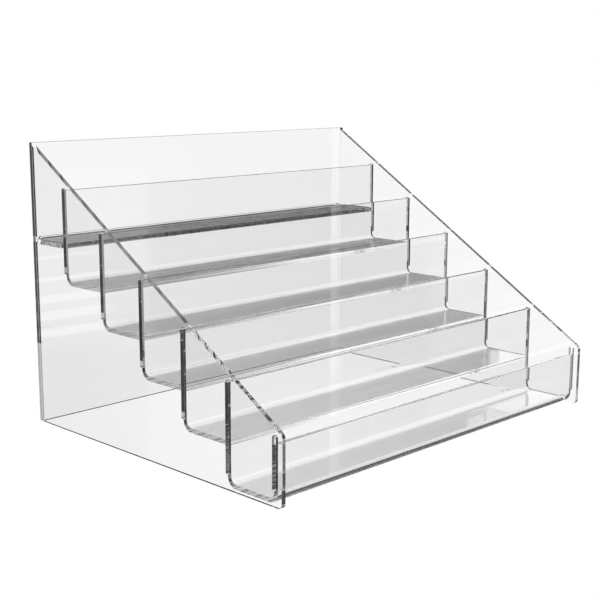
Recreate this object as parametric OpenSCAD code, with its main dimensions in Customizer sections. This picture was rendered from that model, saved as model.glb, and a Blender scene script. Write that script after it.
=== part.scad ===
// Stepped clear display stand, in millimetres.
// Two slotted side panels hold heat bent trays by their tabs.
// Origin on the table, at the middle of the footprint.
// +Z is up, X runs along the trays and the front is toward -Y.

/* [Overall size] */
// Width over the outer faces of the two side panels
stand_width = 300; // [200:1:450]
// Depth from the front edge of the side panels to the back of the back panel
stand_depth = 238; // [200:1:280]
// Height of the back panel and of the side panels at the back
stand_height = 190; // [160:1:230]
// Height of the side panels at their front edge
front_edge_height = 42.5; // [38:0.5:60]
// Thickness of the sheet every piece is cut from
sheet_thickness = 3; // [2.5:0.1:3.2]

/* [Side panels] */
// Corner radius at the bottom of the front edge
toe_radius = 3; // [1:0.5:6]
// Corner radius where the front edge meets the slanted edge
brow_radius = 4.5; // [1:0.5:6]
// Corner radius inside a slot
slot_corner_radius = 0.8; // [0.3:0.1:1]
// Room in a slot on each face of the sheet that fills it
slot_side_clearance = 0.1; // [0.05:0.05:0.3]
// Room in a slot above the tab
slot_top_clearance = 1.1; // [0.9:0.1:1.5]
// Room in a slot under the tab of a step tray
slot_foot_clearance = 4.4; // [1:0.1:5]
// Distance from the slanted edge straight down to the top of the lip slot
slot_edge_distance = 4.9; // [4:0.1:6]

/* [Step trays] */
// Distance from the slanted edge straight down to the top of every riser
riser_edge_distance = 5.9; // [5:0.1:8]
// Height of a step tray from the underside of its floor to the top of its riser
tray_height = 62.1; // [60:0.1:64]
// Inner radius of every heat bend
bend_inner_radius = 4; // [2:0.5:5]
// Height of a tab on a step tray
tray_tab_height = 50; // [40:0.5:50]
// Room between the end of a tray and the side panel
end_clearance = 0.1; // [0.05:0.05:0.3]
// Room between the edge of a floor and the riser in front of it
floor_clearance = 0.1; // [0.05:0.05:0.3]

/* [Front tray] */
// Underside of the front tray above the table
front_tray_lift = 1.2; // [0.5:0.1:2]
// Clear depth of the front tray, from its lip to its riser
front_tray_depth = 35.5; // [30:0.5:45]
// Distance from the slanted edge straight down to the top of the lip
lip_edge_distance = 9.8; // [8:0.1:14]
// Front face of the lip from the front edge of the side panels
lip_setback = 4.5; // [4:0.1:5.5]
// Foot of the tabs of the front tray above the table
front_tab_foot = 11; // [10.5:0.1:14]
// Room in a slot under a tab of the front tray
front_foot_clearance = 1.5; // [1:0.1:2]

/* [Top shelf] */
// Clear depth of the top shelf, from the highest riser to the back panel
shelf_depth = 32.6; // [28:0.1:45]
// Distance from the top of the highest riser down to the underside of the shelf
shelf_drop = 37.8; // [30:0.1:45]
// Distance from the riser to the start of the shelf tab
shelf_tab_inset = 2.6; // [1.5:0.1:6]
// Distance from the end of the shelf tab to the back panel
shelf_tab_back_inset = 6; // [5:0.1:10]
// Room in front of the shelf tab in its slot
shelf_front_clearance = 1; // [0.9:0.1:1.2]
// Room behind the shelf tab in its slot
shelf_back_clearance = 3; // [1:0.1:4]
// Room above and below a side tab of the shelf, and under its rear tab
shelf_tab_clearance = 0.1; // [0.05:0.05:0.3]

/* [Back panel] */
// Cement line between the back panel and its neighbours
cement_line = 0.05; // [0.05:0.01:0.1]
// Distance from the end of the back panel to the rear tab of the shelf
back_tab_inset = 8.6; // [6:0.1:20]
// Corner radius of the rear tab
tab_corner_radius = 0.2; // [0.1:0.1:0.5]
// Room in the slot of the back panel at each end of the rear tab
back_tab_clearance = 3.2; // [0.9:0.1:3.5]
// Room in the slot of the back panel above the rear tab
back_top_clearance = 1.1; // [0.9:0.1:1.5]

/* [Hidden] */

// Facets that OpenSCAD draws on a full circle
facets_full = 96;
$fn = facets_full;

// Overlap that makes a cut run clean through a face
cut_margin = 1;
// Flat steps that draw the round corner at the brow
brow_facets = 8;
// Number of step trays above the front tray
step_tray_count = 4;
// Places worked out from the slanted edge are rounded to this step
drawing_step = 0.01;

front_y = -stand_depth / 2;
inner_half_width = stand_width / 2 - sheet_thickness;
body_length = 2 * (inner_half_width - end_clearance);
slant_angle = atan((stand_height - front_edge_height) / stand_depth);
// Length that the round corner takes off each edge at the brow
brow_cut = brow_radius / tan((90 + slant_angle) / 2);
bend_outer_radius = bend_inner_radius + sheet_thickness;
// Distance from the front of the side panels to the front face of the back panel
back_face_distance = stand_depth - sheet_thickness;
// Depth of a side panel, up to the cement line of the back panel
side_depth = back_face_distance - cement_line;
// Front face of the highest riser from the front edge of the side panels
top_riser_distance = back_face_distance - shelf_depth - sheet_thickness;
// Front face of the riser of the front tray from the front edge of the side panels
front_riser_distance = lip_setback + sheet_thickness + front_tray_depth;
// Distance from one riser to the next along the depth
tier_pitch = (top_riser_distance - front_riser_distance) / step_tray_count;
// Clear run of a floor from its riser to the riser in front
floor_run = tier_pitch - sheet_thickness - floor_clearance;
// Top of the riser of the front tray
front_riser_height = riser_height(step_tray_count);
// From the outer face of the lip to the front face of the riser
front_tray_reach = sheet_thickness + front_tray_depth;
lip_height = on_step(slant_height(lip_setback + sheet_thickness / 2) - lip_edge_distance);
shelf_lift = riser_height(0) - shelf_drop;
shelf_tab_distance = top_riser_distance + sheet_thickness + shelf_tab_inset;
shelf_tab_length = shelf_depth - shelf_tab_inset - shelf_tab_back_inset;
back_tab_length = stand_width - 2 * back_tab_inset;

acrylic_color = [0.86, 0.93, 0.96, 0.45];
bent_color = [0.80, 0.90, 0.95, 0.55];

// A length rounded to the drawing step
function on_step(length) = round(length / drawing_step) * drawing_step;

// Height of the slanted edge at a distance from the front
function slant_height(distance) = front_edge_height + distance * tan(slant_angle);

// Front face of riser number n, counted from the top
function riser_distance(n) = on_step(top_riser_distance - n * tier_pitch);

// Top of riser number n, counted from the top
function riser_height(n) =
  on_step(slant_height(riser_distance(n) + sheet_thickness / 2) - riser_edge_distance);

// Turns a drawing of distance and height into the plane across the stand,
// and gives it a length along X, centred on x_centre
module across_stand(x_centre, length)
  translate([x_centre - length / 2, front_y, 0])
    rotate([90, 0, 90])
      linear_extrude(height = length)
        children();

// Rectangle between two corners
module box_2d(low, high)
  translate(low)
    square([high[0] - low[0], high[1] - low[1]]);

// Rectangle with four round corners and its lower front corner at the origin
module rounded_box_2d(size, radius) {
  translate([radius, 0])
    square([size[0] - 2 * radius, size[1]]);
  translate([0, radius])
    square([size[0], size[1] - 2 * radius]);
  for (x = [radius, size[0] - radius])
    for (y = [radius, size[1] - radius])
      translate([x, y])
        circle(r = radius);
}

// Points along an arc, from one angle to another
function arc_points(centre, radius, from_angle, to_angle) = [
  for (i = [0:brow_facets])
    let (angle = from_angle + (to_angle - from_angle) * i / brow_facets)
      centre + radius * [cos(angle), sin(angle)]
];

// Outline of a side panel, with the two round corners of its front edge
module side_outline() {
  polygon(concat(
    [
      [0, toe_radius],
      [toe_radius, toe_radius],
      [toe_radius, 0],
      [side_depth, 0],
      [side_depth, slant_height(side_depth)]
    ],
    arc_points([brow_radius, front_edge_height - brow_cut], brow_radius, 90 + slant_angle, 180)));
  translate([toe_radius, toe_radius])
    circle(r = toe_radius);
}

// One upright slot, for a sheet whose front face is at a distance from the front
module upright_slot(distance, foot, height)
  translate([distance - slot_side_clearance, foot])
    rounded_box_2d([sheet_thickness + 2 * slot_side_clearance, height], slot_corner_radius);

// All the slots of one side panel
module side_slots() {
  // Slot feet of the front tray
  front_slot_foot = front_tab_foot - front_foot_clearance;
  // Top of the slot of the lip
  lip_slot_top = on_step(slant_height(lip_setback + sheet_thickness / 2) - slot_edge_distance);
  for (n = [0:step_tray_count - 1])
    upright_slot(
      riser_distance(n),
      riser_height(n) - tray_tab_height - slot_foot_clearance,
      tray_tab_height + slot_foot_clearance + slot_top_clearance);
  upright_slot(
    front_riser_distance,
    front_slot_foot,
    front_riser_height + slot_top_clearance - front_slot_foot);
  upright_slot(lip_setback, front_slot_foot, lip_slot_top - front_slot_foot);
  translate([shelf_tab_distance - shelf_front_clearance, shelf_lift - shelf_tab_clearance])
    rounded_box_2d(
      [
        shelf_tab_length + shelf_front_clearance + shelf_back_clearance,
        sheet_thickness + 2 * shelf_tab_clearance
      ],
      slot_corner_radius);
}

// A side panel standing with its middle plane at x_centre
module side_panel(x_centre)
  color(acrylic_color)
    difference() {
      across_stand(x_centre, sheet_thickness)
        side_outline();
      across_stand(x_centre, sheet_thickness + 2 * cut_margin)
        side_slots();
    }

// Quarter of a bend that turns from an upright wall behind it into a floor in front of it.
// The outer corner of the bend is at the origin.
module bend_2d()
  translate([-bend_outer_radius, bend_outer_radius])
    difference() {
      intersection() {
        circle(r = bend_outer_radius);
        box_2d([0, -bend_outer_radius], [bend_outer_radius, 0]);
      }
      circle(r = bend_inner_radius);
    }

// Upright wall and bend of a tray, whose outer corner is at the origin
module riser_2d(height) {
  bend_2d();
  box_2d([-sheet_thickness, bend_outer_radius], [0, height]);
}

// Profile of a step tray, with the outer corner of its bend at the origin
module step_tray_2d() {
  riser_2d(tray_height);
  box_2d([-floor_run - sheet_thickness, 0], [-bend_outer_radius, sheet_thickness]);
}

// Profile of the front tray, with the outer corner of its back bend at the origin
module front_tray_2d() {
  riser_2d(front_riser_height - front_tray_lift);
  box_2d(
    [-front_tray_reach - sheet_thickness + bend_outer_radius, 0],
    [-bend_outer_radius, sheet_thickness]);
  translate([-front_tray_reach - sheet_thickness, 0])
    mirror([1, 0])
      riser_2d(lip_height - front_tray_lift);
}

// Step tray number n, counted from the top, drawn from the outer corner of its bend
module step_tray(n) {
  corner = [riser_distance(n) + sheet_thickness, riser_height(n) - tray_height];
  color(bent_color) {
    across_stand(0, body_length)
      translate(corner)
        step_tray_2d();
    across_stand(0, stand_width)
      translate(corner)
        box_2d([-sheet_thickness, tray_height - tray_tab_height], [0, tray_height]);
  }
}

module left_side_panel() side_panel(-(stand_width - sheet_thickness) / 2);

module right_side_panel() side_panel((stand_width - sheet_thickness) / 2);

// Turns a drawing of width and height into the plane of the back panel,
// and gives it a length along the depth, from a distance behind the front
module along_back(distance, length)
  translate([0, front_y + distance + length, 0])
    rotate([90, 0, 0])
      linear_extrude(height = length)
        children();

// The rear tab of the shelf, grown by the room at its ends, under it and above it
module rear_tab_2d(end_room, foot_room, top_room, radius)
  translate([-back_tab_length / 2 - end_room, shelf_lift - foot_room])
    rounded_box_2d(
      [back_tab_length + 2 * end_room, sheet_thickness + foot_room + top_room],
      radius);

module back_panel()
  color(acrylic_color)
    difference() {
      across_stand(0, stand_width)
        box_2d([back_face_distance, 0], [stand_depth, stand_height]);
      along_back(back_face_distance - cut_margin, sheet_thickness + 2 * cut_margin)
        rear_tab_2d(
          back_tab_clearance,
          shelf_tab_clearance,
          back_top_clearance,
          slot_corner_radius);
    }

module top_shelf()
  color(acrylic_color) {
    across_stand(0, body_length)
      translate([top_riser_distance + sheet_thickness + floor_clearance, shelf_lift])
        square([shelf_depth - floor_clearance - cement_line, sheet_thickness]);
    across_stand(0, stand_width)
      translate([shelf_tab_distance, shelf_lift])
        square([shelf_tab_length, sheet_thickness]);
    along_back(back_face_distance - cut_margin, sheet_thickness + cut_margin)
      rear_tab_2d(0, 0, 0, tab_corner_radius);
  }

module step_tray_1() step_tray(0);

module step_tray_2() step_tray(1);

module step_tray_3() step_tray(2);

module step_tray_4() step_tray(3);

module front_tray() {
  corner = [front_riser_distance + sheet_thickness, front_tray_lift];
  tab_foot = front_tab_foot - front_tray_lift;
  color(bent_color) {
    across_stand(0, body_length)
      translate(corner)
        front_tray_2d();
    across_stand(0, stand_width)
      translate(corner) {
        box_2d([-sheet_thickness, tab_foot], [0, front_riser_height - front_tray_lift]);
        translate([-front_tray_reach - sheet_thickness, 0])
          box_2d([0, tab_foot], [sheet_thickness, lip_height - front_tray_lift]);
      }
  }
}

left_side_panel();
right_side_panel();
back_panel();
top_shelf();
step_tray_1();
step_tray_2();
step_tray_3();
step_tray_4();
front_tray();
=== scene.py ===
# %% [markdown]
# # A stepped display stand of clear sheet
#
# The real stand is cut from clear acrylic sheet. Two side panels carry slots, and
# the tabs of five heat bent trays and of a flat shelf sit in them. A back panel
# closes the rear. The pieces come from the CAD frame at their true size, so this
# lesson adds what the CAD can't give: the clear material, the room that it
# reflects, the floor and the camera.

# %% Open the frame
import math

import bpy
from mathutils import Matrix, Vector


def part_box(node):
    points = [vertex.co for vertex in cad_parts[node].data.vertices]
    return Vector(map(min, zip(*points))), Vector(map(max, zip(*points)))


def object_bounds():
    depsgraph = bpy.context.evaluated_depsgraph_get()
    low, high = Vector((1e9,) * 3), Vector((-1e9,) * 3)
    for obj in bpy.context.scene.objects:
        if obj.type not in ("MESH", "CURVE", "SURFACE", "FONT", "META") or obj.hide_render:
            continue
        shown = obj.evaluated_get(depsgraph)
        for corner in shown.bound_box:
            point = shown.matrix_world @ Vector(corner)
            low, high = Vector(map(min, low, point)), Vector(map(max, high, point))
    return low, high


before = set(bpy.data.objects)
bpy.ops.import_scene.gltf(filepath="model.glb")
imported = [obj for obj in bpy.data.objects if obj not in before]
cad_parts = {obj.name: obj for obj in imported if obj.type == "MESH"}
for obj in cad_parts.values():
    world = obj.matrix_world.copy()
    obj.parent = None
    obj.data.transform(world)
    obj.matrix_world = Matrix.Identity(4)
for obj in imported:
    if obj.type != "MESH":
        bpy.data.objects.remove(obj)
cad_low, cad_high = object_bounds()
print("CAD box from", tuple(cad_low), "to", tuple(cad_high))

# %% [markdown]
# ## Measuring before dressing
#
# A maker measures the pieces first. The frame gives each node's box, so the sheet
# thickness and the planes where pieces meet are read from it and not typed again.
# That way the looks still fit if the CAD is changed.

# %% Measure the pieces
MM_IN_METRE = 1000


def mm(length):
    return length / MM_IN_METRE


left_low, left_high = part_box("left_side_panel")
sheet_thickness = left_high.x - left_low.x
inner_half_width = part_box("right_side_panel")[0].x
back_face_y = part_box("back_panel")[0].y
print("sheet %.1f mm thick" % (sheet_thickness * MM_IN_METRE))
print("inside half width %.1f mm" % (inner_half_width * MM_IN_METRE))

# %% [markdown]
# ## The camera
#
# The photograph looks down at the stand from the front left. Its straight edges
# fix the camera: where it stands, how far it turns and tips, and how long its
# lens is. Writing the turn, tip and roll as three angles keeps the numbers
# readable, and a small function turns them into Blender's matrix. A camera in
# Blender looks along its own -Z axis, with +Y up.

# %% Write down where the camera stands
PHOTO_PIXELS = 600
FOCAL_PIXELS = 1180.6
SENSOR_WIDTH = 36.0
NEAREST_VIEW = mm(10)
camera_place = Vector((-0.5787, -0.5591, 0.2386))
camera_turn = math.radians(45.16)
camera_tip = math.radians(11.12)
camera_roll = math.radians(-0.17)
print("camera %.0f mm above the table" % (camera_place.z * MM_IN_METRE))


# %% Set up the camera
def camera_matrix(place, turn, tip, roll):
    forward = Vector((
        math.sin(turn) * math.cos(tip),
        math.cos(turn) * math.cos(tip),
        -math.sin(tip),
    ))
    level_right = Vector((math.cos(turn), -math.sin(turn), 0))
    level_down = forward.cross(level_right)
    right = math.cos(roll) * level_right + math.sin(roll) * level_down
    down = math.cos(roll) * level_down - math.sin(roll) * level_right
    matrix = Matrix((right, -down, -forward)).transposed().to_4x4()
    matrix.translation = place
    return matrix


camera_data = bpy.data.cameras.new("camera")
camera_data.sensor_width = SENSOR_WIDTH
camera_data.lens = FOCAL_PIXELS / PHOTO_PIXELS * SENSOR_WIDTH
camera_data.clip_start = NEAREST_VIEW
camera = bpy.data.objects.new("camera", camera_data)
camera.matrix_world = camera_matrix(camera_place, camera_turn, camera_tip, camera_roll)
bpy.context.scene.collection.objects.link(camera)
bpy.context.scene.camera = camera
print("lens %.1f mm" % camera_data.lens)

# %% [markdown]
# ## A helper for shader nodes
#
# Materials, the floor and the room are all node trees. A tree reads more easily
# when a node is made in one line, so this small class adds a node, sets its plain
# values, joins its inputs and hands back one of its outputs. A socket is found by
# its name, or by its number where two sockets share a name.


# %% Make node trees easy to write
class Tree:
    def __init__(self, owner):
        owner.use_nodes = True
        self.tree = owner.node_tree
        self.tree.nodes.clear()

    def add(self, kind, inputs=None, output=0, **settings):
        node = self.tree.nodes.new(kind)
        for name, value in settings.items():
            setattr(node, name, value)
        for name, value in (inputs or {}).items():
            if isinstance(value, bpy.types.NodeSocket):
                self.tree.links.new(value, node.inputs[name])
            else:
                node.inputs[name].default_value = value
        return node.outputs[output] if node.outputs else node

    def math(self, operation, *values):
        return self.add("ShaderNodeMath", dict(enumerate(values)), operation=operation)

    def ramp(self, value, low, high):
        return self.add(
            "ShaderNodeMapRange",
            {"Value": value, "From Min": low, "From Max": high},
            interpolation_type="SMOOTHSTEP",
        )

    def choose(self, answer, if_no, if_yes):
        return self.add(
            "ShaderNodeMix", {"Factor": answer, "A": if_no, "B": if_yes}, data_type="FLOAT"
        )

    def choose_shader(self, answer, if_no, if_yes):
        return self.add("ShaderNodeMixShader", {0: answer, 1: if_no, 2: if_yes})

    def reflections_so_far(self):
        return self.add("ShaderNodeLightPath", output="Glossy Depth")


# %% [markdown]
# ## The room
#
# Clear sheet has no colour of its own. What the eye reads as acrylic is the room:
# the white backdrop seen straight through it, and the dark studio and its soft
# lights seen in its faces. Blender counts how often a ray has been reflected and
# calls this its Glossy Depth. A ray that comes straight through has a count of 0
# and sees the white backdrop. A reflected ray sees the room.
#
# Each soft light is a window in the sky map of the room, measured in degrees: its
# compass direction (0 is straight behind the stand, 90 is to its right) and its
# height above the horizon, each with a half width, and one soft border. The blinds
# are tilted, because their slats run off into the distance.

# %% Write down the lights
ROOM_DARK = 0.015
BACKDROP_WHITE = 1.0
BLIND_TILT = -0.106

room_lights = [
    # name, compass, half width, height, half height, border, strength, tilt
    ("ceiling_right", 97, 39, 33.5, 11.5, 2, 1.2, 0),
    ("ceiling_top", 74, 15, 67, 22, 1, 0.6, 0),
    ("ceiling_front", 142, 8, 34, 11, 2, 0.75, 0),
    ("ceiling_left", 265, 32, 56, 34, 6, 1.2, 0),
    ("ceiling_camera", 220, 20, 56, 34, 6, 0.9, 0),
    ("right_window", 72, 17.3, 17.5, 4, 0.3, 0.8, 0),
    ("window_low", 57.4, 2.3, 14, 1.8, 0.3, 1.4, 0),
    ("window_high", 56.7, 3, 17.5, 1.9, 0.3, 1.3, 0),
    ("front_window", 146, 3.5, 17, 4.5, 0.6, 0.6, 0),
    ("front_sill", 146, 3.5, 7, 5, 0.6, 0.22, 0),
    ("front_skirting", 146, 3.5, -9, 4, 0.6, 0.28, 0),
    ("bright_floor", 105, 15, -56, 34, 1, 0.77, 0),
    ("left_floor", 284, 44, -56, 34, 1, 0.02, 0),
    ("back_floor", 52, 8, -50, 14, 1, 0.22, 0),
    ("front_floor", 135, 14, -66, 22, 1, 0.22, 0),
    ("left_glow", 318.5, 3.5, -14.5, 7, 1, 0.26, 0),
    ("left_wall", 326, 3, -7, 4.5, 1, 0.26, 0),
    ("left_shelf", 308, 7, 7, 5, 1, 0.62, 0),
    ("left_skirting", 308, 7, -19.5, 2, 1, 0.5, 0),
    ("right_glow", 124.5, 3.5, -12, 4.5, 1, 0.2, 0),
    ("camera_low", 232, 7, -7, 5, 1, 0.5, 0),
    ("camera_high", 232, 7, 12, 5, 1, 0.55, 0),
    ("camera_left", 218, 6, 0, 21, 1, 0.4, 0),
    ("back_glow", 34.5, 3.5, -14, 7, 0.6, 0.4, 0),
    ("strip_lamp", 133.15, 0.13, -8, 20, 0.1, 0.5, 0),
    ("thin_strip_lamp", 132.88, 0.04, -8, 20, 0.05, 0.4, 0),
    ("blind_1", 326.9, 1.6, -8.87, 0.03, 0.12, 0.65, BLIND_TILT),
    ("blind_2", 326.7, 1.6, -9.9, 0.05, 0.12, 0.8, BLIND_TILT),
    ("blind_3", 326.7, 1.6, -10.83, 0.12, 0.2, 0.75, BLIND_TILT),
    ("blind_4", 326.7, 1.6, -11.62, 0.12, 0.2, 0.75, BLIND_TILT),
    ("blind_5", 326.7, 1.6, -12.42, 0.12, 0.2, 0.7, BLIND_TILT),
]
print(len(room_lights), "soft lights in the room")

# %% [markdown]
# ## One soft light
#
# A ray's direction is known as a compass angle and a height. The light is full
# where both lie inside its half widths, and fades across its border. The compass
# runs in a circle, so the difference to the light's middle is wrapped into one
# turn first. Of all the lights, the strongest one in a direction counts, so they
# can overlap without growing brighter. The ends of the blinds fade out slowly.

# %% Shine one soft light, and then all of them
HALF_TURN = 180
BLIND_FADE = 2.5


def soft_light(
    tree, compass, height, at, half_width, at_height, half_height, border, strength, tilt
):
    aside = tree.math("WRAP", tree.math("SUBTRACT", compass, at), HALF_TURN, -HALF_TURN)
    middle = tree.math("MULTIPLY_ADD", aside, tilt, at_height)
    above = tree.math("ABSOLUTE", tree.math("SUBTRACT", height, middle))
    fade = BLIND_FADE if tilt else border
    in_width = tree.ramp(tree.math("ABSOLUTE", aside), half_width + fade, half_width)
    in_height = tree.ramp(above, half_height + border, half_height)
    return tree.math("MULTIPLY", tree.math("MULTIPLY", in_width, in_height), strength)


def all_lights(tree, compass, height, lights):
    light = ROOM_DARK
    for name, *shape in lights:
        light = tree.math("MAXIMUM", light, soft_light(tree, compass, height, *shape))
    return light


# %% [markdown]
# ## Light that stays inside
#
# Acrylic bends light so strongly that a ray can be caught between two faces of one
# sheet and bounce along it for many centimetres. That is why the cut ends of a
# clear tray look dark and full of small patterns. A caught ray has met many
# fingerprints, scratches and saw marks on its way, so what it brings back is a
# soft level glow, and after some thirty reflections only a trace of it.
#
# The slanted edges look like a twisted rope. Each time a caught ray meets the next
# face it turns from the right to the left or back, so bright and dark dashes take
# turns. They show because the room is brighter on the right of the stand.

# %% Write down the light of caught rays
CAUGHT_COUNT = 4.5
LOST_COUNT = 31.5

caught_lights = [
    ("ceiling_glow", 90, 31, 67, 22, 1, 0.35, 0),
    ("level_glow", 0, 180, 0, 21, 1, 0.5, 0),
    ("horizon_right", 90, 59, 0, 2, 0.5, 1.4, 0),
]
lost_lights = [
    ("right_back_low", 28, 11, -31, 8, 1, 0.6, 0),
    ("right_back_high", 28, 11, 31, 8, 1, 0.6, 0),
    ("right_front_low", 152, 11, -31, 8, 1, 0.6, 0),
    ("right_front_high", 152, 11, 31, 8, 1, 0.6, 0),
    ("level_trace", 0, 180, 0, 21, 1, 0.04, 0),
    ("row_of_windows", 0, 180, 14.5, 2.5, 0.5, 0.5, 0),
    ("front_floor", 135, 14, -33, 11, 1, 0.5, 0),
]
print(len(caught_lights), "lights for caught rays,", len(lost_lights), "for lost ones")

# %% [markdown]
# ## Hanging the room around the stand
#
# Blender paints what lies beyond every object with the world's node tree. A photo
# of a real room could be hung there, but a few named lights are easier to place
# and to change. The tree reads a ray's direction as compass and height, and its
# count of reflections chooses between the backdrop and the three sets of lights.

# %% Hang the room
MIRRORED_COUNT = 0.5

world = bpy.data.worlds.new("studio")
bpy.context.scene.world = world
room = Tree(world)
direction = room.add(
    "ShaderNodeSeparateXYZ",
    {"Vector": room.add("ShaderNodeTexCoord", output="Generated")},
).node.outputs
compass = room.math("DEGREES", room.math("ARCTAN2", direction["X"], direction["Y"]))
height = room.math("DEGREES", room.math("ARCSINE", direction["Z"]))
reflections = room.reflections_so_far()
mirrored = room.math("GREATER_THAN", reflections, MIRRORED_COUNT)
caught = room.math("GREATER_THAN", reflections, CAUGHT_COUNT)
lost = room.math("GREATER_THAN", reflections, LOST_COUNT)
room_light = all_lights(room, compass, height, room_lights)
caught_light = room.math("MULTIPLY", caught, all_lights(room, compass, height, caught_lights))
room_light = room.math("MAXIMUM", room_light, caught_light)
room_light = room.choose(lost, room_light, all_lights(room, compass, height, lost_lights))
seen = room.choose(mirrored, BACKDROP_WHITE, room_light)
room.add("ShaderNodeOutputWorld", {"Surface": room.add("ShaderNodeBackground", {"Color": seen})})
bpy.context.scene.view_settings.view_transform = "Standard"
print("the room has", len(room.tree.nodes), "nodes")

# %% [markdown]
# ## Enough bounces for clear sheet
#
# Light that crosses one sheet bends twice, and seven sheets stand one behind
# another here. Blender stops a ray after a few bounces and paints it black, so
# the limits are raised until no sheet looks black for that reason.

# %% Let light pass many sheets
MOST_BOUNCES = 160
cycles = bpy.context.scene.cycles
cycles.max_bounces = MOST_BOUNCES
cycles.transmission_bounces = MOST_BOUNCES
cycles.glossy_bounces = MOST_BOUNCES
print("a ray may bounce", MOST_BOUNCES, "times")

# %% [markdown]
# ## Waves and polish
#
# Sheet is never perfectly flat, so a very gentle noise bends the normal over some
# centimetres. It works on the shader's normal and not on the mesh, because the
# real waves are about a thousandth of a millimetre high.
#
# Even a polished edge keeps fine saw marks that scatter a little of the light.
# Nobody polishes evenly, so a second, finer noise makes this haze up to three
# times as strong in some places as in others.

# %% Wave and polish the sheet
WAVE_HEIGHT = mm(0.001)
WAVE_DETAIL = 1.0
WAVE_ROUGHNESS = 0.4
POLISH_PATCH = mm(3)
POLISH_DETAIL = 3.0
BEST_POLISH = 0.35
WORST_POLISH = 0.65
LEAST_HAZE = 0.5


def gentle_waves(tree, position, wave_length):
    waves = tree.add(
        "ShaderNodeTexNoise",
        {
            "Vector": position,
            "Scale": 1 / wave_length,
            "Detail": WAVE_DETAIL,
            "Roughness": WAVE_ROUGHNESS,
        },
        output="Fac",
    )
    return tree.add("ShaderNodeBump", {"Height": waves, "Distance": WAVE_HEIGHT, "Strength": 1.0})


def patchy_haze(tree, position, edge_haze):
    polish = tree.add(
        "ShaderNodeTexNoise",
        {"Vector": position, "Scale": 1 / POLISH_PATCH, "Detail": POLISH_DETAIL},
        output="Fac",
    )
    uneven = tree.ramp(polish, BEST_POLISH, WORST_POLISH)
    return tree.math("MULTIPLY_ADD", uneven, edge_haze, edge_haze * LEAST_HAZE)


# %% [markdown]
# ## Clear acrylic
#
# Acrylic bends light a little less than glass: its index of refraction is 1.49.
# The Principled shader with full transmission gives both the view through the
# sheet and the mirror of its faces. On the cut edges a small share of the shader
# is hazy white instead of clear.
#
# In a perfect block some rays would never find a way out. In real sheet they leak
# out in the end, so after a hundred reflections the sheet lets a ray go straight.
# Faces that are cemented together let every ray go straight.

# %% Make the clear sheet
ACRYLIC_INDEX = 1.49
LEAVE_COUNT = 99.5


def clear_sheet(name, wave_length, cut_edge, edge_haze, cemented=None):
    material = bpy.data.materials.new(name)
    tree = Tree(material)
    geometry = tree.add("ShaderNodeNewGeometry").node.outputs
    position = geometry["Position"]
    place = tree.add("ShaderNodeSeparateXYZ", {"Vector": position}).node.outputs
    facing = tree.add("ShaderNodeSeparateXYZ", {"Vector": geometry["True Normal"]}).node.outputs
    normal = gentle_waves(tree, position, wave_length)
    hazy = tree.math("MULTIPLY", cut_edge(tree, facing), patchy_haze(tree, position, edge_haze))
    sheet_shader = tree.add(
        "ShaderNodeBsdfPrincipled",
        {
            "Base Color": (1, 1, 1, 1),
            "Roughness": 0.0,
            "IOR": ACRYLIC_INDEX,
            "Transmission Weight": tree.math("SUBTRACT", 1, hazy),
            "Normal": normal,
        },
    )
    let_go = tree.math("GREATER_THAN", tree.reflections_so_far(), LEAVE_COUNT)
    if cemented:
        let_go = tree.math("MAXIMUM", let_go, cemented(tree, place))
    finish = tree.choose_shader(let_go, sheet_shader, tree.add("ShaderNodeBsdfTransparent"))
    tree.add("ShaderNodeOutputMaterial", {"Surface": finish})
    print(name, "bends in waves of %.0f mm" % (wave_length * MM_IN_METRE))
    return material


# %% [markdown]
# ## Cut edges
#
# Every piece is a flat or bent sheet, so the direction a face looks in tells
# whether it is a cut edge. The side panels' faces look left and right, the back
# panel's to the front and rear, the shelf's up and down. A bent tray turns from
# level to upright, and only its two ends look sideways. The shelf's long front
# edge is sanded but not polished, so its haze is much stronger.

# %% Find the cut edges
EDGE_FACING = 0.5
POLISHED_HAZE = 0.02
TRAY_END_HAZE = 0.015
SANDED_HAZE = 0.3


def side_edge(tree, facing):
    return tree.math("LESS_THAN", tree.math("ABSOLUTE", facing["X"]), EDGE_FACING)


def back_edge(tree, facing):
    return tree.math("LESS_THAN", tree.math("ABSOLUTE", facing["Y"]), EDGE_FACING)


def shelf_edge(tree, facing):
    return tree.math("LESS_THAN", tree.math("ABSOLUTE", facing["Z"]), EDGE_FACING)


def tray_end(tree, facing):
    return tree.math("GREATER_THAN", tree.math("ABSOLUTE", facing["X"]), EDGE_FACING)


# %% [markdown]
# ## Cemented joints
#
# Solvent cement melts the two sheets together, so no air is left between them and
# light runs straight on from one sheet into the other. Two faces that only lie
# close would mirror the light instead and draw a black line. So where the back
# panel is cemented to the side panels, both faces let light pass unbent.

# %% Find the cemented faces
CEMENT_REACH = mm(0.1)


def side_joint(tree, place):
    return tree.math("GREATER_THAN", place["Y"], back_face_y - CEMENT_REACH)


def back_joint(tree, place):
    on_front = tree.math("LESS_THAN", place["Y"], back_face_y + CEMENT_REACH)
    on_end = tree.math("GREATER_THAN", tree.math("ABSOLUTE", place["X"]), inner_half_width)
    return tree.math("MULTIPLY", on_front, on_end)


# %% [markdown]
# ## One finish for each kind of piece
#
# All nine pieces are the same acrylic, but not the same sheet. The wide back panel
# has the longest waves, and heating for the bends leaves the trays with the
# shortest. Four finishes are enough, and each one is worn by every piece of its
# kind.

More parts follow.
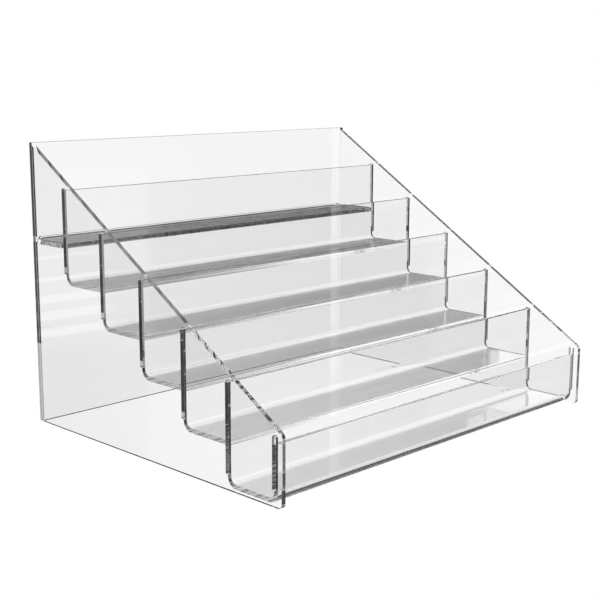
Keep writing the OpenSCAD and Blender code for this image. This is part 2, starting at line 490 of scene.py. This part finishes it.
# %% Make the finishes
side_material = clear_sheet("clear_side_sheet", mm(60), side_edge, POLISHED_HAZE, side_joint)
back_material = clear_sheet("clear_back_sheet", mm(80), back_edge, POLISHED_HAZE, back_joint)
shelf_material = clear_sheet("clear_shelf_sheet", mm(60), shelf_edge, SANDED_HAZE)
bent_material = clear_sheet("clear_bent_sheet", mm(50), tray_end, TRAY_END_HAZE)

# %% Dress the pieces
dress = {
    "left_side_panel": side_material,
    "right_side_panel": side_material,
    "back_panel": back_material,
    "top_shelf": shelf_material,
    "step_tray_1": bent_material,
    "step_tray_2": bent_material,
    "step_tray_3": bent_material,
    "step_tray_4": bent_material,
    "front_tray": bent_material,
}
for node, material in dress.items():
    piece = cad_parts[node]
    for slot in piece.material_slots:
        slot.material = material
    print(node, "wears", material.name)

# %% [markdown]
# ## The floor
#
# The photograph has a pure white floor with no shadow. A large plane just under
# the stand glows white when it is seen directly. In a reflection it is clear, for
# the same reason as the backdrop, so a reflected ray goes on to the room below.

# %% Lay the floor
FLOOR_HALF_SIZE = 4.0
FLOOR_GAP = mm(0.3)
floor_height = cad_low.z - FLOOR_GAP
floor_corners = ((-1, -1), (1, -1), (1, 1), (-1, 1))

floor_mesh = bpy.data.meshes.new("floor")
floor_mesh.from_pydata(
    [(x * FLOOR_HALF_SIZE, y * FLOOR_HALF_SIZE, floor_height) for x, y in floor_corners],
    [],
    [(0, 1, 2, 3)],
)
floor = bpy.data.objects.new("floor", floor_mesh)
bpy.context.scene.collection.objects.link(floor)
print("floor %.1f mm under the stand" % (FLOOR_GAP * MM_IN_METRE))

# %% Whiten the floor
floor_material = bpy.data.materials.new("pale_floor")
tree = Tree(floor_material)
white_glow = tree.add("ShaderNodeEmission", {"Strength": BACKDROP_WHITE})
floor_mirrored = tree.math("GREATER_THAN", tree.reflections_so_far(), MIRRORED_COUNT)
floor_finish = tree.choose_shader(
    floor_mirrored, white_glow, tree.add("ShaderNodeBsdfTransparent")
)
tree.add("ShaderNodeOutputMaterial", {"Surface": floor_finish})
floor_mesh.materials.append(floor_material)
print("the floor wears", floor_material.name)
